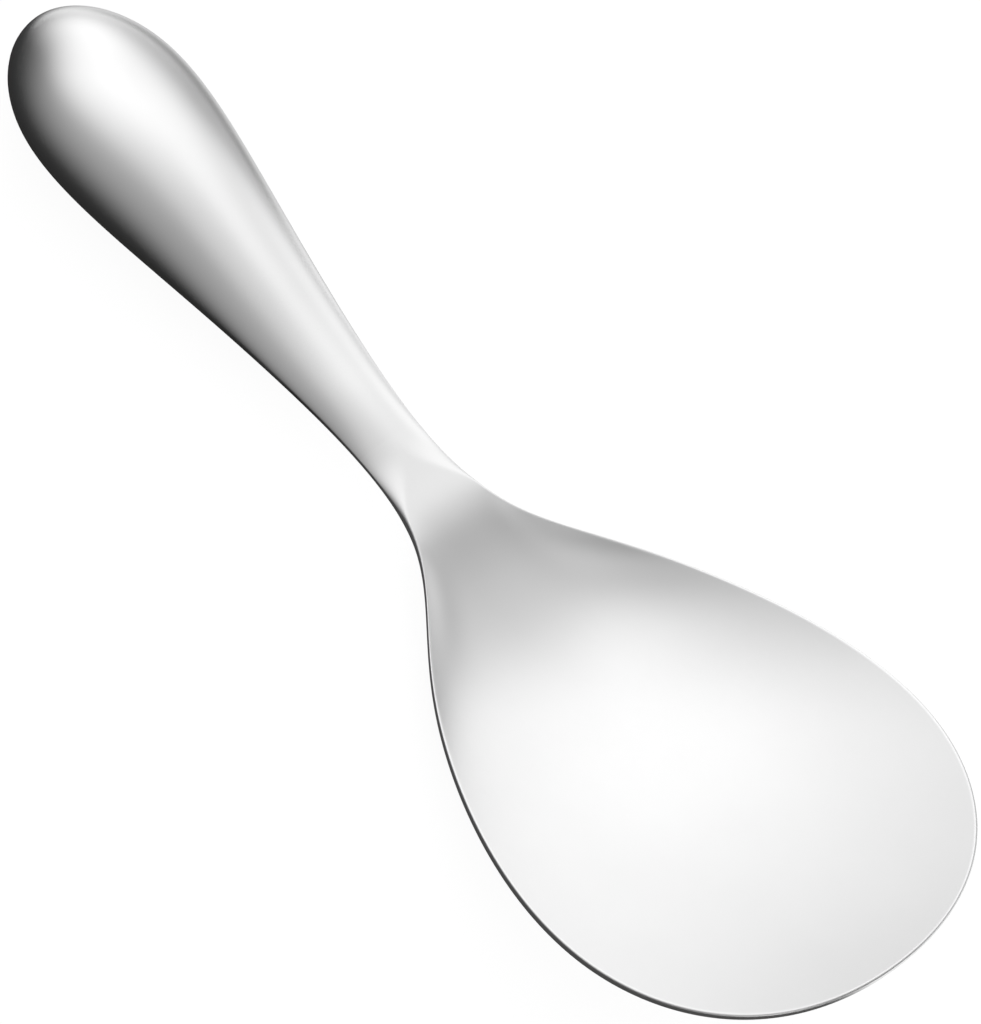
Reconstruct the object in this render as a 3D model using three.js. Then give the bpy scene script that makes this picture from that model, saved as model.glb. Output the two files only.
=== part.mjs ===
// Serving spoon: a dished bowl on a hollow handle of two pressed shells.
// Millimetres, +Z up. The spoon lies as it rests on a table, with the handle towards -X and the tip towards +X.
import * as THREE from 'three';
import { NURBSCurve } from 'three/addons/curves/NURBSCurve.js';
import { mergeVertices } from 'three/addons/utils/BufferGeometryUtils.js';

// Lengths along the spoon
const handleLength = 92;
const bowlLength = 118;
const tangLength = 18;

// Widths across the spoon
const handleWidth = 30.3;
const neckWidth = 12;
const bowlWidth = 72.5;

// Heights and thicknesses
const crownHeight = 9.4;
const neckThickness = 4.8;
const bowlDepth = 6.8;
const bowlSheet = 1.8;
const shellWall = 0.8;

// Joints between the pieces
const weldWidth = 0.8;
const tangClearance = 0.15;

// Side view, as angles to the table and lengths from the weld at the neck
const rimAngle = THREE.MathUtils.degToRad(12.8);
const crankAngle = THREE.MathUtils.degToRad(9);
const handleAngle = THREE.MathUtils.degToRad(2.3);
const bendFromWeld = 31.8;
const bendSoftness = 9.7;
const crankFromWeld = 16.8;
const crankSoftness = 1.7;
const taperBeforeWeld = 14;
const taperAfterWeld = 13;
const edgeTaper = 14;
const restFlat = 0.25;

// Plan view: places of the outline's control points, from the handle's end, the weld and the tip
const bulbStart = 11.6;
const bulbEnd = 37.5;
const waistBeforeWeld = 11.9;
const waistAfterWeld = 19.8;
const shoulderFromWeld = 35.7;
const bellyFromTip = 27.1;

// Plan view: half widths of the control points, as shares of the width that they shape
const endShare = 0.438;
const bulbShare = 1.127;
const gripShare = 0.93;
const waistShare = 0.99;
const throatShare = 0.826;
const shoulderShare = 0.669;
const bellyShare = 1.246;
const tipShare = 0.594;

// Section of the dish: 2 is a plain arc, and more gives a flatter floor with steeper walls, as at its root
const dishPower = 2.05;
const rootPower = 4;
const rootReach = 45;

// Section of the handle: 2 is an oval, and 1 is a lens with edges
const bulbFullness = 1.7;
const neckFullness = 1.2;

// Mesh steps along the handle, along the bowl, and from one edge to the other
const handleSteps = 22;
const bowlSteps = 44;
const acrossSteps = 20;

const weldEnd = handleLength + weldWidth;
const tipAt = handleLength + bowlLength;
const bendAt = handleLength + bendFromWeld;
const crankAt = handleLength + crankFromWeld;

// A ramp that is zero before the start and has slope one after it, with a soft corner
function softRamp(distance, softness) {
  return softness * Math.log1p(Math.exp(distance / softness));
}

// Eases from 0 to 1 with no jump in curvature at either end
function ease(share) {
  return THREE.MathUtils.smootherstep(share, 0, 1);
}

// Plan outline of one side as a cubic spline, from the handle's end round to the tip
function makeOutline() {
  const handle = handleWidth / 2;
  const neck = neckWidth / 2;
  const bowl = bowlWidth / 2;
  const controls = [
    [0, 0],
    [0, endShare * handle],
    [bulbStart, bulbShare * handle],
    [bulbEnd, gripShare * handle],
    [handleLength - waistBeforeWeld, waistShare * neck],
    [handleLength + waistAfterWeld, throatShare * neck],
    [handleLength + shoulderFromWeld, shoulderShare * bowl],
    [tipAt - bellyFromTip, bellyShare * bowl],
    [tipAt, tipShare * bowl],
    [tipAt, 0],
  ];
  const degree = 3;
  const spans = controls.length - degree;
  const inner = Array.from({ length: spans - 1 }, (_, i) => (i + 1) / spans);
  const ends = degree + 1;
  const knots = [...Array(ends).fill(0), ...inner, ...Array(ends).fill(1)];
  return new NURBSCurve(degree, knots, controls.map(([x, y]) => new THREE.Vector4(x, y, 0, 1)));
}

const outline = makeOutline();

// Place on the outline's parameter where it passes x, which grows all the way to the tip
function outlineAt(x) {
  let low = 0;
  let high = 1;
  for (let i = 0; i < 40; i += 1) {
    const middle = (low + high) / 2;
    if (outline.getPoint(middle).x < x) low = middle;
    else high = middle;
  }
  return (low + high) / 2;
}

function halfWidth(x) {
  return outline.getPoint(outlineAt(x)).y;
}

// Depth of the dish below its rim along the middle of the bowl, zero on the neck and at the tip
function dishDepth(x) {
  const share = softRamp(x - crankAt, crankSoftness) / (tipAt - crankAt);
  return bowlDepth * (1 - Math.abs(2 * share - 1) ** dishPower);
}

// Side line of the seam and the rim: the handle falls gently to the crank, the line falls more steeply
// from there, and past the bend the rim rises
function edgeRise(x) {
  const fall = Math.tan(handleAngle);
  const crank = Math.tan(crankAngle);
  const rise = Math.tan(rimAngle);
  const falling = fall * (x - bendAt) + crank * softRamp(x - crankAt, crankSoftness);
  return (fall + crank + rise) * softRamp(x - bendAt, bendSoftness) - falling;
}

// The spoon stands at the height where the bowl's underside just presses its flat on the table
function restingLift() {
  const under = [];
  for (let x = crankAt; x <= tipAt; x += 0.5) under.push(edgeRise(x) - dishDepth(x) - bowlSheet / 2);
  return -Math.min(...under) - restFlat;
}

const lift = restingLift();

function edgeHeight(x) {
  return lift + edgeRise(x);
}

// The fattest place of the handle, whose underside reaches the table as well
const bulbAt = (bulbStart + bulbEnd) / 2;
const heelDepth = edgeHeight(bulbAt) + restFlat;

// Height of a shell above or below its edge, as a share of the half width there
function shellShare(x, bulbHeight) {
  const atBulb = (bulbHeight - weldWidth / 2) / (handleWidth / 2);
  const atNeck = (neckThickness - weldWidth) / 2 / halfWidth(handleLength);
  return THREE.MathUtils.lerp(atBulb, atNeck, ease((x - bulbAt) / (handleLength - bulbAt)));
}

// Fullness of the handle's section, from the bulb to the neck
function fullness(x) {
  return THREE.MathUtils.lerp(bulbFullness, neckFullness, ease((x - bulbAt) / (handleLength - bulbAt)));
}

// Thickness of the spoon at its neck, which thins from the handle to the sheet of the bowl
function thicknessAt(x) {
  const taperStart = handleLength - taperBeforeWeld;
  const taper = ease((x - taperStart) / (taperBeforeWeld + taperAfterWeld));
  return THREE.MathUtils.lerp(neckThickness, bowlSheet, taper);
}

// Outer and inner place of the handle's wall, where the plan outline has the given parameter
function wallAt(t) {
  const place = outline.getPoint(t);
  const along = outline.getTangent(t);
  const outer = { x: place.x, half: place.y };
  const inner = { x: place.x + shellWall * along.y, half: place.y - shellWall * along.x };
  return { outer, inner, thinning: shellWall * along.x };
}

// Angles from one edge over the top to the other
const angles = Array.from({ length: acrossSteps + 1 }, (_, i) => (Math.PI * i) / acrossSteps);

// Half a section that starts and ends on the edge line, standing up (+1) or hanging down (-1)
function archOf(side, height, up) {
  const foot = edgeHeight(side.x) + (up * weldWidth) / 2;
  const power = 2 / fullness(side.x);
  return angles.map((angle) => {
    const y = side.half * Math.cos(angle);
    const z = foot + up * height * Math.abs(Math.sin(angle)) ** power;
    return new THREE.Vector3(side.x, y, Math.max(z, 0));
  });
}

// Skin over a row of rings with equal counts, each going round against the clock as seen from the row's end.
// A cap ties the first points of its ring to the last ones.
function loft(rings, { capStart = false, capEnd = false, closed = false }) {
  const count = rings[0].length;
  const positions = rings.flat().flatMap((point) => point.toArray());
  const triangles = [];
  const quad = (a, b, c, d) => triangles.push(a, b, c, a, c, d);
  const spans = closed ? rings.length : rings.length - 1;
  for (let i = 0; i < spans; i += 1) {
    const here = i * count;
    const next = ((i + 1) % rings.length) * count;
    for (let j = 0; j < count; j += 1) {
      const k = (j + 1) % count;
      quad(here + j, here + k, next + k, next + j);
    }
  }
  const end = (rings.length - 1) * count;
  for (let j = 0; j < count / 2 - 1; j += 1) {
    const k = count - 1 - j;
    if (capStart) quad(j, k, k - 1, j + 1);
    if (capEnd) quad(end + j, end + j + 1, end + k - 1, end + k);
  }
  const skin = new THREE.BufferGeometry();
  skin.setAttribute('position', new THREE.Float32BufferAttribute(positions, 3));
  skin.setIndex(triangles);
  return dropSlivers(mergeVertices(skin, 1e-4));
}

// Rings that close to a point or a line leave triangles with two equal corners, which are taken out
function dropSlivers(skin) {
  const corners = skin.index.array;
  const kept = [];
  for (let i = 0; i < corners.length; i += 3) {
    const [a, b, c] = corners.slice(i, i + 3);
    if (a !== b && b !== c && c !== a) kept.push(a, b, c);
  }
  skin.setIndex(kept);
  skin.computeVertexNormals();
  return skin;
}

// Even steps of the outline's parameter
function steps(from, to, count) {
  return Array.from({ length: count + 1 }, (_, i) => THREE.MathUtils.lerp(from, to, i / count));
}

const mouth = outlineAt(handleLength);
const handleRow = steps(0, mouth, handleSteps);

// One pressed half of the handle, from the round end to the mouth at the neck
function makeShell(up, bulbHeight) {
  const rings = handleRow.map((t) => {
    const { outer, inner, thinning } = wallAt(t);
    const tapered = (neckThickness - thicknessAt(outer.x)) / 2;
    const height = shellShare(outer.x, bulbHeight) * outer.half - tapered;
    const over = archOf(outer, height, up);
    const under = archOf(inner, height - thinning, up).reverse();
    return up > 0 ? [...over, ...under] : [...over, ...under].reverse();
  });
  return loft(rings, { capEnd: true });
}

// The weld that fills the seam between the shells, in one run round the end of the handle
function makeSeamWeld() {
  const run = [...handleRow.slice(1).reverse().map((t) => [t, 1]), ...handleRow.map((t) => [t, -1])];
  const rings = run.map(([t, side]) => {
    const { outer, inner } = wallAt(t);
    const corner = (wall, up) =>
      new THREE.Vector3(wall.x, side * wall.half, edgeHeight(wall.x) + (up * weldWidth) / 2);
    return [corner(inner, -1), corner(inner, 1), corner(outer, 1), corner(outer, -1)];
  });
  return loft(rings, { capStart: true, capEnd: true });
}

// The closed oval at the mouth of the handle, its wall drawn in by the given amount, moved to x
function mouthOval(drawnIn, x) {
  const half = outline.getPoint(mouth).y - drawnIn;
  const height = (thicknessAt(handleLength) - weldWidth) / 2 - drawnIn;
  return [...archOf({ x, half }, height, 1), ...archOf({ x, half }, height, -1).reverse()];
}

// The weld all round the neck, between the mouth of the shells and the shoulder of the bowl
function makeNeckWeld() {
  const faces = [
    mouthOval(shellWall, handleLength),
    mouthOval(shellWall, weldEnd),
    neckSection(0),
    mouthOval(0, handleLength),
  ];
  const rings = faces[0].map((_, i) => faces.map((face) => face[i]));
  return loft(rings, { closed: true });
}

const bowlRow = steps(outlineAt(weldEnd), 1, bowlSteps);
const bellyAt = outlineAt(tipAt - bellyFromTip);
const fanCentre = tipAt - bowlWidth / 4;

// Cross row of the bowl that meets the outline at step i. Past the belly the rows fan out to meet the rim squarely.
function bowlRib(i) {
  const t = bowlRow[i];
  const rim = outline.getPoint(t);
  const along = outline.getTangent(t);
  const belly = outline.getPoint(bellyAt).x;
  const fanShare = (t - bellyAt) / (1 - bellyAt);
  const rootX = t < bellyAt ? rim.x : THREE.MathUtils.lerp(belly, fanCentre, fanShare);
  const reach = rim.y * along.x - (rim.x - rootX) * along.y;
  return { rim, rootX, reach };
}

// Upper (+1) or lower (-1) surface of the bowl and its neck over one point of the plan
function bowlSurface(x, y, toRim, up) {
  const tightening = ease((x - weldEnd) / edgeTaper);
  const spreading = ease((x - crankAt) / rootReach);
  const half = halfWidth(x);
  const across = half > 0 ? Math.min(Math.abs(y) / half, 1) : 0;
  const power = THREE.MathUtils.lerp(rootPower, dishPower, spreading);
  const middle = edgeHeight(x) - dishDepth(x) * (1 - across ** power);
  const rounding = THREE.MathUtils.lerp(half, (bowlSheet - weldWidth) / 2, tightening);
  const inside = 1 - Math.min(toRim / rounding, 1);
  const full = THREE.MathUtils.lerp(neckFullness, 2, tightening);
  const swell = ((thicknessAt(x) - weldWidth) / 2) * (1 - inside * inside) ** (1 / full);
  return Math.max(middle + up * (weldWidth / 2 + swell), 0);
}

function bowlArch(i, up) {
  const { rim, rootX, reach } = bowlRib(i);
  return angles.map((angle) => {
    const share = Math.cos(angle);
    const x = THREE.MathUtils.lerp(rootX, rim.x, Math.abs(share));
    const y = rim.y * share;
    return new THREE.Vector3(x, y, bowlSurface(x, y, reach * (1 - Math.abs(share)), up));
  });
}

function neckSection(i) {
  return [...bowlArch(i, 1), ...bowlArch(i, -1).reverse()];
}

// The bowl with its neck and the tang that plugs into the handle
function makeBowl() {
  const drawnIn = shellWall + tangClearance;
  const tang = [handleLength - tangLength, weldEnd].map((x) => mouthOval(drawnIn, x));
  const dish = bowlRow.map((_, i) => neckSection(i));
  return loft([...tang, ...dish], { capStart: true });
}

const satinSteel = { color: 0xc9cacb, roughness: 0.34, metalness: 1 };
const groundWeld = { color: 0xbfc0c1, roughness: 0.4, metalness: 1 };

const spoon = new THREE.Group();
spoon.position.x = -tipAt / 2;

function addPiece(name, geometry, finish) {
  const piece = new THREE.Mesh(geometry, new THREE.MeshStandardMaterial(finish));
  piece.name = name;
  spoon.add(piece);
}

addPiece('bowl', makeBowl(), satinSteel);
addPiece('handle_top_shell', makeShell(1, crownHeight), satinSteel);
addPiece('handle_bottom_shell', makeShell(-1, heelDepth), satinSteel);
addPiece('seam_weld', makeSeamWeld(), groundWeld);
addPiece('neck_weld', makeNeckWeld(), groundWeld);

export default spoon;
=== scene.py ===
# Serving spoon in satin steel: a dished bowl on a hollow handle of two pressed shells.
import math

import bmesh
import bpy
import numpy as np
from mathutils import Matrix, Vector


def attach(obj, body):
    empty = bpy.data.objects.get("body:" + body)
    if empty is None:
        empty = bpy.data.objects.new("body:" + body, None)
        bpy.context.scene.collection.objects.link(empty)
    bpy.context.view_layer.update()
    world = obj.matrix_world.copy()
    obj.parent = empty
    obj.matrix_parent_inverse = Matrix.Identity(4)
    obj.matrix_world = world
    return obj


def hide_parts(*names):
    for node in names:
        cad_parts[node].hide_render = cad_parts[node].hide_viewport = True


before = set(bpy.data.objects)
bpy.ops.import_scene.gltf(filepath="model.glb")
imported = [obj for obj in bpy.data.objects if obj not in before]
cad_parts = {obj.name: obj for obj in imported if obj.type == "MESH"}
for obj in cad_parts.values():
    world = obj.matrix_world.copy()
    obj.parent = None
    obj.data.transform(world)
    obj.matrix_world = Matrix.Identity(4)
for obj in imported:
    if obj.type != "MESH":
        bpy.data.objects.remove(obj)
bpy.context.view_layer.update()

MM = 0.001

# Lengths along the spoon, in millimetres
handle_length = 92.0
bowl_length = 118.0
tang_length = 18.0

# Widths across the spoon
handle_width = 30.3
neck_width = 12.0
bowl_width = 72.5

# Heights and thicknesses
crown_height = 9.4
neck_thickness = 4.8
bowl_depth = 6.8
bowl_sheet = 1.8
shell_wall = 0.8

# Joints between the pieces
weld_width = 0.8
tang_clearance = 0.15

# Side view, as angles to the table and lengths from the weld at the neck
rim_slope = math.tan(math.radians(12.8))
crank_slope = math.tan(math.radians(9))
handle_slope = math.tan(math.radians(2.3))
bend_from_weld = 31.8
bend_softness = 9.7
crank_from_weld = 15.5
crank_softness = 1.7
taper_before_weld = 14.0
taper_after_weld = 20.0
edge_taper = 14.0
rest_flat = 0.25

# Plan view: places of the outline's control points, from the handle's end, the weld and the tip
bulb_start = 11.6
bulb_end = 37.5
waist_before_weld = 11.9
waist_after_weld = 19.8
shoulder_from_weld = 35.7
belly_from_tip = 27.1

# Plan view: half widths of the control points, as shares of the width that they shape
end_share = 0.438
bulb_share = 1.127
grip_share = 0.93
waist_share = 0.99
throat_share = 0.826
shoulder_share = 0.669
belly_share = 1.246
tip_share = 0.594

# Section of the dish: 2 is a plain arc, and more gives a flatter floor with steeper walls
dish_power = 2.05
root_power = 4.0
root_reach = 45.0

# Section of the handle: 2 is an oval, and 1 is a lens with edges
bulb_fullness = 1.7
neck_fullness = 1.2

# Mesh steps along the handle, along the bowl, and from one edge to the other
handle_steps = 96
bowl_steps = 180
across_steps = 96

# Mesh cleaning, in metres and degrees
merge_distance = 1e-7
degenerate_length = 1e-8
sharp_angle = 40

weld_end = handle_length + weld_width
tip_at = handle_length + bowl_length
bend_at = handle_length + bend_from_weld
crank_at = handle_length + crank_from_weld
bulb_at = (bulb_start + bulb_end) / 2
fan_centre = tip_at - bowl_width / 4
tiny = 1e-9


def lerp(start, end, share):
    return start + (end - start) * share


def ease(share):
    share = np.clip(share, 0, 1)
    return share**3 * (share * (6 * share - 15) + 10)


def soft_ramp(distance, softness):
    return softness * np.logaddexp(0, distance / softness)


# Plan outline of one side as a cubic spline, from the handle's end round to the tip
outline_points = np.array([
    (0, 0),
    (0, end_share * handle_width / 2),
    (bulb_start, bulb_share * handle_width / 2),
    (bulb_end, grip_share * handle_width / 2),
    (handle_length - waist_before_weld, waist_share * neck_width / 2),
    (handle_length + waist_after_weld, throat_share * neck_width / 2),
    (handle_length + shoulder_from_weld, shoulder_share * bowl_width / 2),
    (tip_at - belly_from_tip, belly_share * bowl_width / 2),
    (tip_at, tip_share * bowl_width / 2),
    (tip_at, 0),
])
degree = 3
spans = len(outline_points) - degree
knots = np.concatenate([np.zeros(degree), np.linspace(0, 1, spans + 1), np.ones(degree)])
knot_gaps = (knots[degree + 1 : -1] - knots[1 : -degree - 1])[:, None]
tangent_points = degree * np.diff(outline_points, axis=0) / knot_gaps
last_t = 1 - 1e-12


# Points of a spline at the parameters t, by its basis functions
def spline(points, degree, knots, t):
    t = np.minimum(t, last_t)
    weights = [((knots[i] <= t) & (t < knots[i + 1])).astype(float) for i in range(len(knots) - 1)]
    for d in range(1, degree + 1):
        raised = []
        for i in range(len(weights) - 1):
            rise = knots[i + d] - knots[i]
            fall = knots[i + d + 1] - knots[i + 1]
            value = np.zeros_like(t)
            if rise > 0:
                value = value + (t - knots[i]) / rise * weights[i]
            if fall > 0:
                value = value + (knots[i + d + 1] - t) / fall * weights[i + 1]
            raised.append(value)
        weights = raised
    return sum(weight[..., None] * point for weight, point in zip(weights, points))


def outline(t):
    place = spline(outline_points, degree, knots, t)
    return place[..., 0], place[..., 1]


def outline_tangent(t):
    slope = spline(tangent_points, degree - 1, knots[1:-1], t)
    slope = slope / np.linalg.norm(slope, axis=-1, keepdims=True)
    return slope[..., 0], slope[..., 1]


# Look-up of the outline by its place along the spoon
lookup_count = 8001
lookup_t = np.linspace(0, 1, lookup_count)
lookup_x, lookup_half = outline(lookup_t)


def outline_at(x):
    return float(np.interp(x, lookup_x, lookup_t))


def half_width(x):
    return np.interp(x, lookup_x, lookup_half)


# Depth of the dish below its rim along the middle of the bowl, zero on the neck and at the tip
def dish_depth(x):
    share = soft_ramp(x - crank_at, crank_softness) / (tip_at - crank_at)
    return bowl_depth * (1 - np.abs(2 * share - 1) ** dish_power)


# Side line of the seam and the rim: a gentle fall to the crank, a steeper one to the bend, then a rise
def edge_rise(x):
    falling = handle_slope * (x - bend_at) + crank_slope * soft_ramp(x - crank_at, crank_softness)
    turn = handle_slope + crank_slope + rim_slope
    return turn * soft_ramp(x - bend_at, bend_softness) - falling


# Lift that sets the lowest point of the bowl just below the table, where it is worn flat
underside_step = 0.5
underside_x = np.arange(crank_at, tip_at + underside_step / 2, underside_step)
lift = -np.min(edge_rise(underside_x) - dish_depth(underside_x) - bowl_sheet / 2) - rest_flat


def edge_height(x):
    return lift + edge_rise(x)


heel_depth = edge_height(bulb_at) + rest_flat


# Height of a shell above or below its edge, as a share of the half width there
def shell_share(x, bulb_height):
    at_bulb = (bulb_height - weld_width / 2) / (handle_width / 2)
    at_neck = (neck_thickness - weld_width) / 2 / half_width(handle_length)
    return lerp(at_bulb, at_neck, ease((x - bulb_at) / (handle_length - bulb_at)))


# Fullness of the handle's section, from the bulb to the neck
def fullness(x):
    return lerp(bulb_fullness, neck_fullness, ease((x - bulb_at) / (handle_length - bulb_at)))


# Thickness of the spoon at its neck, which thins from the handle to the sheet of the bowl
def thickness_at(x):
    taper_start = handle_length - taper_before_weld
    taper = ease((x - taper_start) / (taper_before_weld + taper_after_weld))
    return lerp(neck_thickness, bowl_sheet, taper)


# Outer and inner edge of a shell in plan, and how much lower its inside is
def wall_at(t):
    x, half = outline(t)
    along_x, along_y = outline_tangent(t)
    inner_x = x + shell_wall * along_y
    inner_half = half - shell_wall * along_x
    return x, half, inner_x, inner_half, shell_wall * along_x


angles = np.linspace(0, math.pi, across_steps + 1)


# Half sections from edge to edge, standing up (+1) or hanging down (-1), one for each x
def arches(x, half, height, up):
    x = np.atleast_1d(x)[:, None]
    half = np.atleast_1d(half)[:, None]
    height = np.atleast_1d(height)[:, None]
    y = half * np.cos(angles)
    rise = height * np.abs(np.sin(angles)) ** (2 / fullness(x))
    z = edge_height(x) + up * (weld_width / 2 + rise)
    return np.stack([x + 0 * y, y, np.maximum(z, 0)], axis=-1)


# A solid skin over rings of equal counts, as a mesh object in the frame
def loft(name, rings, cap_start=False, cap_end=False, closed=False):
    rows, count = rings.shape[:2]
    points = rings.reshape(-1, 3) - (tip_at / 2, 0, 0)
    faces = []
    for i in range(rows if closed else rows - 1):
        here = i * count
        ahead = (i + 1) % rows * count
        for j in range(count):
            k = (j + 1) % count
            faces.append((here + j, here + k, ahead + k, ahead + j))
    end = (rows - 1) * count
    for j in range(count // 2 - 1):
        k = count - 1 - j
        if cap_start:
            faces.append((j, k, k - 1, j + 1))
        if cap_end:
            faces.append((end + j, end + j + 1, end + k - 1, end + k))
    mesh = bpy.data.meshes.new(name)
    mesh.from_pydata((points * MM).tolist(), [], faces)
    work = bmesh.new()
    work.from_mesh(mesh)
    bmesh.ops.remove_doubles(work, verts=work.verts, dist=merge_distance)
    bmesh.ops.dissolve_degenerate(work, edges=work.edges, dist=degenerate_length)
    bmesh.ops.recalc_face_normals(work, faces=work.faces)
    work.to_mesh(mesh)
    work.free()
    mesh.shade_smooth()
    mesh.set_sharp_from_angle(angle=math.radians(sharp_angle))
    piece = bpy.data.objects.new(name, mesh)
    bpy.context.scene.collection.objects.link(piece)
    return piece


mouth = outline_at(handle_length)
handle_row = np.linspace(0, mouth, handle_steps + 1)


# One pressed half of the handle, from the round end to the mouth at the neck
def make_shell(name, up, bulb_height):
    x, half, inner_x, inner_half, thinning = wall_at(handle_row)
    height = shell_share(x, bulb_height) * half - (neck_thickness - thickness_at(x)) / 2
    over = arches(x, half, height, up)
    under = arches(inner_x, inner_half, height - thinning, up)[:, ::-1]
    return loft(name, np.concatenate([over, under], axis=1), cap_end=True)


# The weld that fills the seam between the shells, in one run round the end of the handle
def make_seam_weld(name):
    t = np.concatenate([handle_row[:0:-1], handle_row])
    side = np.concatenate([np.ones(handle_steps), -np.ones(handle_steps + 1)])
    x, half, inner_x, inner_half, _ = wall_at(t)

    def corner(at, width, up):
        return np.stack([at, side * width, edge_height(at) + up * weld_width / 2], axis=-1)

    inside = [corner(inner_x, inner_half, -1), corner(inner_x, inner_half, 1)]
    outside = [corner(x, half, 1), corner(x, half, -1)]
    return loft(name, np.stack(inside + outside, axis=1), cap_start=True, cap_end=True)


# The closed oval at the mouth of the handle, its wall drawn in by the given amount, moved to x
def mouth_oval(drawn_in, x):
    half = half_width(handle_length) - drawn_in
    height = (thickness_at(handle_length) - weld_width) / 2 - drawn_in
    return np.concatenate([arches(x, half, height, 1)[0], arches(x, half, height, -1)[0][::-1]])


bowl_row = np.linspace(outline_at(weld_end), 1, bowl_steps + 1)
belly_at = outline_at(tip_at - belly_from_tip)


# Upper (+1) or lower (-1) surface of the bowl and its neck over points of the plan
def bowl_surface(x, y, to_rim, up):
    tightening = ease((x - weld_end) / edge_taper)
    spreading = ease((x - crank_at) / root_reach)
    half = half_width(x)
    across = np.minimum(np.abs(y) / np.maximum(half, tiny), 1)
    power = lerp(root_power, dish_power, spreading)
    middle = edge_height(x) - dish_depth(x) * (1 - across**power)
    rounding = lerp(half, (bowl_sheet - weld_width) / 2, tightening)
    inside = 1 - np.minimum(to_rim / np.maximum(rounding, tiny), 1)
    full = lerp(neck_fullness, 2, tightening)
    swell = (thickness_at(x) - weld_width) / 2 * (1 - inside**2) ** (1 / full)
    return np.maximum(middle + up * (weld_width / 2 + swell), 0)


# Cross rows of the bowl. Past the belly the rows fan out to meet the rim squarely.
def bowl_arches(t, up):
    rim_x, rim_y = outline(t)
    along_x, along_y = outline_tangent(t)
    belly_x = float(outline(np.array(belly_at))[0])
    fanned = lerp(belly_x, fan_centre, (t - belly_at) / (1 - belly_at))
    root_x = np.where(t < belly_at, rim_x, fanned)
    reach = rim_y * along_x - (rim_x - root_x) * along_y
    share = np.cos(angles)
    x = lerp(root_x[:, None], rim_x[:, None], np.abs(share))
    y = rim_y[:, None] * share
    z = bowl_surface(x, y, reach[:, None] * (1 - np.abs(share)), up)
    return np.stack([x, y, z], axis=-1)


def bowl_sections(t):
    return np.concatenate([bowl_arches(t, 1), bowl_arches(t, -1)[:, ::-1]], axis=1)


# The weld all round the neck, between the mouth of the shells and the shoulder of the bowl
def make_neck_weld(name):
    faces = [
        mouth_oval(shell_wall, handle_length),
        mouth_oval(shell_wall, weld_end),
        bowl_sections(bowl_row[:1])[0],
        mouth_oval(0, handle_length),
    ]
    return loft(name, np.stack(faces, axis=1), closed=True)


# The bowl with its neck and the tang that plugs into the handle
def make_bowl(name):
    drawn_in = shell_wall + tang_clearance
    tang = [mouth_oval(drawn_in, x) for x in (handle_length - tang_length, weld_end)]
    rings = np.concatenate([np.stack(tang), bowl_sections(bowl_row)])
    return loft(name, rings, cap_start=True)


# Finish of the steel, which changes over from the handle to the bowl along the neck
steel_tone = 0.88
handle_roughness = 0.308
bowl_roughness = 0.376
polish_start = -16
polish_end = 12

# Fine lengthwise grain, and a faint clouding of the tone
grain_scale = (120, 5200, 5200)
grain_detail = 3.0
grain_roughness = 0.05
grain_depth = 5e-8
grain_anisotropy = 0.2
cloud_scale = 55.0
cloud_detail = 4.0
cloud_contrast = 0.03


# Satin steel, a little duller on the bowl than on the handle
def make_steel(name):
    material = bpy.data.materials.new(name)
    material.use_nodes = True
    nodes = material.node_tree.nodes
    links = material.node_tree.links
    shader = nodes["Principled BSDF"]
    shader.inputs["Metallic"].default_value = 1.0
    shader.inputs["Anisotropic"].default_value = grain_anisotropy

    place = nodes.new("ShaderNodeTexCoord")
    stretch = nodes.new("ShaderNodeMapping")
    stretch.inputs["Scale"].default_value = grain_scale
    links.new(place.outputs["Object"], stretch.inputs["Vector"])
    grain = nodes.new("ShaderNodeTexNoise")
    grain.inputs["Scale"].default_value = 1.0
    grain.inputs["Detail"].default_value = grain_detail
    links.new(stretch.outputs["Vector"], grain.inputs["Vector"])

    cloud = nodes.new("ShaderNodeTexNoise")
    cloud.inputs["Scale"].default_value = cloud_scale
    cloud.inputs["Detail"].default_value = cloud_detail
    links.new(place.outputs["Object"], cloud.inputs["Vector"])
    tint = nodes.new("ShaderNodeMix")
    tint.data_type = "RGBA"
    for end, change in (("A", -cloud_contrast), ("B", cloud_contrast)):
        tone = steel_tone * (1 + change)
        tint.inputs[end].default_value = (tone, tone, tone, 1)
    links.new(cloud.outputs["Fac"], tint.inputs["Factor"])
    links.new(tint.outputs["Result"], shader.inputs["Base Color"])

    split = nodes.new("ShaderNodeSeparateXYZ")
    links.new(place.outputs["Object"], split.inputs["Vector"])
    polish = nodes.new("ShaderNodeMapRange")
    polish.interpolation_type = "SMOOTHSTEP"
    polish.inputs["From Min"].default_value = polish_start * MM
    polish.inputs["From Max"].default_value = polish_end * MM
    polish.inputs["To Min"].default_value = handle_roughness - grain_roughness / 2
    polish.inputs["To Max"].default_value = bowl_roughness - grain_roughness / 2
    links.new(split.outputs["X"], polish.inputs["Value"])
    gloss = nodes.new("ShaderNodeMath")
    gloss.operation = "MULTIPLY_ADD"
    gloss.inputs[1].default_value = grain_roughness
    links.new(grain.outputs["Fac"], gloss.inputs[0])
    links.new(polish.outputs["Result"], gloss.inputs[2])
    links.new(gloss.outputs["Value"], shader.inputs["Roughness"])

    relief = nodes.new("ShaderNodeBump")
    relief.inputs["Strength"].default_value = 1.0
    relief.inputs["Distance"].default_value = grain_depth
    links.new(grain.outputs["Fac"], relief.inputs["Height"])
    links.new(relief.outputs["Normal"], shader.inputs["Normal"])

    surface = nodes.new("ShaderNodeNewGeometry")
    across = nodes.new("ShaderNodeVectorMath")
    across.operation = "CROSS_PRODUCT"
    across.inputs[1].default_value = (1, 0, 0)
    links.new(surface.outputs["Normal"], across.inputs[0])
    links.new(across.outputs["Vector"], shader.inputs["Tangent"])
    return material


bowl_steel = make_steel("bowl_satin")
handle_steel = make_steel("handle_satin")
weld_steel = make_steel("ground_weld")

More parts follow.
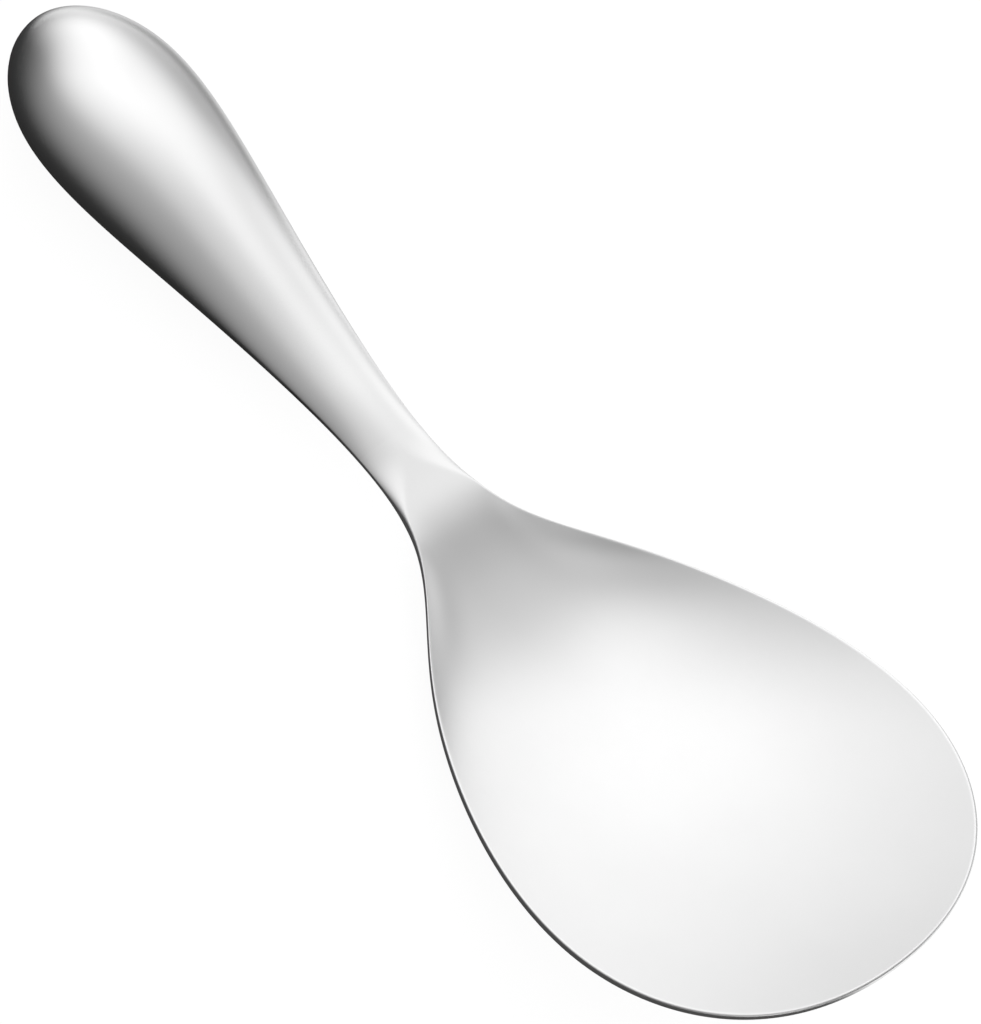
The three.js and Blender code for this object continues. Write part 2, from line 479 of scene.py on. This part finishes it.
pieces = [
    (make_bowl("spoon_bowl"), "bowl", "bowl_steel", bowl_steel),
    (make_shell("top_shell", 1, crown_height), "handle_top_shell", "handle_steel", handle_steel),
    (make_shell("bottom_shell", -1, heel_depth), "handle_bottom_shell", "handle_steel", handle_steel),
    (make_seam_weld("seam_bead"), "seam_weld", "weld_steel", weld_steel),
    (make_neck_weld("neck_bead"), "neck_weld", "weld_steel", weld_steel),
]
for piece, node, slot, material in pieces:
    piece.data.materials.append(material)
    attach(piece, "root")
    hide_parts(node)


# Direction away from the spoon at an azimuth and an elevation in degrees
def bearing(azimuth, elevation):
    turn = math.radians(azimuth)
    climb = math.radians(elevation)
    return Vector((math.cos(climb) * math.cos(turn), math.cos(climb) * math.sin(turn), math.sin(climb)))


# A level rectangle of the stage, in metres
def make_sheet(name, low, high, height):
    corners = [(low[0], low[1]), (high[0], low[1]), (high[0], high[1]), (low[0], high[1])]
    mesh = bpy.data.meshes.new(name)
    mesh.from_pydata([(x, y, height) for x, y in corners], [], [(0, 1, 2, 3)])
    sheet = bpy.data.objects.new(name, mesh)
    bpy.context.scene.collection.objects.link(sheet)
    return sheet


# An empty material on a sheet, as its nodes, its links and the socket for its surface
def cover_sheet(sheet, name):
    material = bpy.data.materials.new(name)
    material.use_nodes = True
    nodes = material.node_tree.nodes
    nodes.remove(nodes["Principled BSDF"])
    sheet.data.materials.append(material)
    return nodes, material.node_tree.links, nodes["Material Output"].inputs["Surface"]


def show_only_in_reflections(sheet):
    sheet.visible_camera = False
    sheet.visible_diffuse = False
    sheet.visible_shadow = False
    sheet.visible_transmission = False


# Pale floor that keeps the spoon's shadow and looks white to the camera and in reflections
floor_reach = 6.0
floor_tone = 0.25
floor_glow = 0.93


def make_floor(name):
    floor = make_sheet(name, (-floor_reach, -floor_reach), (floor_reach, floor_reach), 0.0)
    nodes, links, surface = cover_sheet(floor, "paper")
    matte = nodes.new("ShaderNodeBsdfDiffuse")
    matte.inputs["Color"].default_value = (floor_tone, floor_tone, floor_tone, 1)
    rays = nodes.new("ShaderNodeLightPath")
    seen = nodes.new("ShaderNodeMath")
    seen.operation = "MAXIMUM"
    links.new(rays.outputs["Is Camera Ray"], seen.inputs[0])
    links.new(rays.outputs["Is Glossy Ray"], seen.inputs[1])
    shown = nodes.new("ShaderNodeMath")
    shown.operation = "MAXIMUM"
    links.new(seen.outputs["Value"], shown.inputs[0])
    links.new(rays.outputs["Is Transmission Ray"], shown.inputs[1])
    strength = nodes.new("ShaderNodeMath")
    strength.operation = "MULTIPLY"
    strength.inputs[1].default_value = floor_glow
    links.new(shown.outputs["Value"], strength.inputs[0])
    glow = nodes.new("ShaderNodeEmission")
    links.new(strength.outputs["Value"], glow.inputs["Strength"])
    both = nodes.new("ShaderNodeAddShader")
    links.new(matte.outputs["BSDF"], both.inputs[0])
    links.new(glow.outputs["Emission"], both.inputs[1])
    links.new(both.outputs["Shader"], surface)


make_floor("floor")

# Dark cards on the floor, seen only in reflections, that paint dark reflections along the steel's near
# edges: low corner, high corner and soft edge in millimetres, then darkness
room = 3000
card_layer = 0.1
reflection_dark_tone = 0.01
cards = {
    "handle_card": ((-room, -room), (-22, 20), 18, 0.98),
    "bowl_card": ((-36, -room), (200, 0), 6, 0.94),
    "end_card": ((-146, 36), (-61, 232), 11, 0.78),
    "tail_card": ((-room, 20), (-260, 150), 40, 0.9),
}


def make_card(name, height, low, high, soft, darkness):
    reach_low = [(side - soft) * MM for side in low]
    reach_high = [(side + soft) * MM for side in high]
    card = make_sheet(name, reach_low, reach_high, height * MM)
    show_only_in_reflections(card)
    nodes, links, surface = cover_sheet(card, name)
    place = nodes.new("ShaderNodeTexCoord")
    split = nodes.new("ShaderNodeSeparateXYZ")
    links.new(place.outputs["Object"], split.inputs["Vector"])
    cover = None
    for axis in range(2):
        for side, before, after in ((low[axis], 0.0, 1.0), (high[axis], 1.0, 0.0)):
            fade = nodes.new("ShaderNodeMapRange")
            fade.interpolation_type = "SMOOTHSTEP"
            fade.inputs["From Min"].default_value = (side - soft) * MM
            fade.inputs["From Max"].default_value = (side + soft) * MM
            fade.inputs["To Min"].default_value = before
            fade.inputs["To Max"].default_value = after
            links.new(split.outputs[axis], fade.inputs["Value"])
            shade = nodes.new("ShaderNodeMath")
            shade.operation = "MULTIPLY"
            shade.inputs[1].default_value = darkness
            if cover is not None:
                links.new(cover, shade.inputs[1])
            links.new(fade.outputs["Result"], shade.inputs[0])
            cover = shade.outputs["Value"]
    # Near-black sheet that only the steel's reflections see: a painted dark reflection, not a shadow on
    # the floor
    dark = nodes.new("ShaderNodeBsdfDiffuse")
    dark.inputs["Color"].default_value = (reflection_dark_tone, reflection_dark_tone, reflection_dark_tone, 1)
    clear = nodes.new("ShaderNodeBsdfTransparent")
    blend = nodes.new("ShaderNodeMixShader")
    links.new(cover, blend.inputs["Fac"])
    links.new(clear.outputs["BSDF"], blend.inputs[1])
    links.new(dark.outputs["BSDF"], blend.inputs[2])
    links.new(blend.outputs["Shader"], surface)


for layer, (name, shape) in enumerate(cards.items(), start=1):
    make_card(name, card_layer * layer, *shape)

# Soft panels near the spoon, seen from the point they face: azimuth, elevation, distance, radius, strength
panels = {
    "handle_panel": ((-76, 0, 17), 100, 53, 248, 207, 0.75),
    "over_handle_panel": ((-85, -5, 17), 173, 66, 654, 480, 0.92),
    "neck_panel": ((-10, 0, 8), 97, 17, 180, 78, 0.92),
    "bowl_panel": ((50, 0, 5), 162, 18, 320, 152, 0.74),
    "over_bowl_panel": ((25, 10, 4), 300, 68, 180, 75, 0.52),
}


# A panel that faces its aim, brightest in its middle and fading out to its radius
def make_panel(name, aim, azimuth, elevation, distance, radius, power):
    reach = radius * MM
    outward = bearing(azimuth, elevation)
    panel = make_sheet(name, (-reach, -reach), (reach, reach), 0.0)
    tilt = outward.to_track_quat("Z", "Y").to_matrix().to_4x4()
    panel.matrix_world = Matrix.Translation((Vector(aim) + outward * distance) * MM) @ tilt
    show_only_in_reflections(panel)
    nodes, links, surface = cover_sheet(panel, name)
    place = nodes.new("ShaderNodeTexCoord")
    away = nodes.new("ShaderNodeVectorMath")
    away.operation = "LENGTH"
    links.new(place.outputs["Object"], away.inputs[0])
    fade = nodes.new("ShaderNodeMapRange")
    fade.interpolation_type = "SMOOTHSTEP"
    fade.inputs["From Min"].default_value = 0.0
    fade.inputs["From Max"].default_value = reach
    fade.inputs["To Min"].default_value = power
    fade.inputs["To Max"].default_value = 0.0
    links.new(away.outputs["Value"], fade.inputs["Value"])
    glow = nodes.new("ShaderNodeEmission")
    links.new(fade.outputs["Result"], glow.inputs["Strength"])
    clear = nodes.new("ShaderNodeBsdfTransparent")
    both = nodes.new("ShaderNodeAddShader")
    links.new(glow.outputs["Emission"], both.inputs[0])
    links.new(clear.outputs["BSDF"], both.inputs[1])
    links.new(both.outputs["Shader"], surface)


for name, shape in panels.items():
    make_panel(name, *shape)

# Broad far lamps round the room: azimuth and elevation in degrees, strength, sharpness
lamps = {
    "over_tip": (2, 77, 0.58, 76),
    "back_low": (57, 12, 1.43, 28),
    "back_high": (68, 60, 0.62, 86),
    "behind_handle": (125, 27, 0.7, 11),
    "over_front": (246, 58, 0.42, 8),
    "beyond_bowl": (-26, 29, 1.6, 49),
}


# The far lamps as one soft glow of the room, summed over its directions
def make_room_light(name):
    world = bpy.data.worlds.new(name)
    bpy.context.scene.world = world
    world.use_nodes = True
    nodes = world.node_tree.nodes
    links = world.node_tree.links
    direction = nodes.new("ShaderNodeTexCoord")
    light = None
    for azimuth, elevation, power, sharpness in lamps.values():
        facing = nodes.new("ShaderNodeVectorMath")
        facing.operation = "DOT_PRODUCT"
        facing.inputs[1].default_value = bearing(azimuth, elevation)
        links.new(direction.outputs["Generated"], facing.inputs[0])
        nearness = nodes.new("ShaderNodeMapRange")
        nearness.inputs["From Min"].default_value = -1.0
        links.new(facing.outputs["Value"], nearness.inputs["Value"])
        falloff = nodes.new("ShaderNodeMath")
        falloff.operation = "POWER"
        falloff.inputs[1].default_value = sharpness
        links.new(nearness.outputs["Result"], falloff.inputs[0])
        total = nodes.new("ShaderNodeMath")
        total.operation = "MULTIPLY_ADD"
        total.inputs[1].default_value = power
        total.inputs[2].default_value = 0.0
        links.new(falloff.outputs["Value"], total.inputs[0])
        if light is not None:
            links.new(light, total.inputs[2])
        light = total.outputs["Value"]
    links.new(light, nodes["Background"].inputs["Strength"])
    nodes["Background"].inputs["Color"].default_value = (1, 1, 1, 1)


make_room_light("studio")

# Camera at the photograph's viewing angle, with its target in millimetres and its angles in degrees
image_width = 981
focal_pixels = 5322.0
sensor = 36.0
camera_target = Vector((5.27, 6.41, 4.63))
camera_distance = 840
camera_azimuth = -57.413
camera_elevation = 60.419
camera_roll = math.radians(20.151)


def make_camera(name):
    data = bpy.data.cameras.new(name)
    data.sensor_fit = "HORIZONTAL"
    data.sensor_width = sensor
    data.lens = sensor * focal_pixels / image_width
    camera = bpy.data.objects.new(name, data)
    bpy.context.scene.collection.objects.link(camera)
    toward = bearing(camera_azimuth, camera_elevation)
    level = bearing(camera_azimuth + 90, 0)
    rightward = level * math.cos(camera_roll) + toward.cross(level) * math.sin(camera_roll)
    turned = Matrix((rightward, toward.cross(rightward), toward)).transposed()
    place = Matrix.Translation((camera_target + toward * camera_distance) * MM)
    camera.matrix_world = place @ turned.to_4x4()
    return camera


bpy.context.scene.camera = make_camera("camera")
bpy.context.scene.view_settings.view_transform = "Standard"
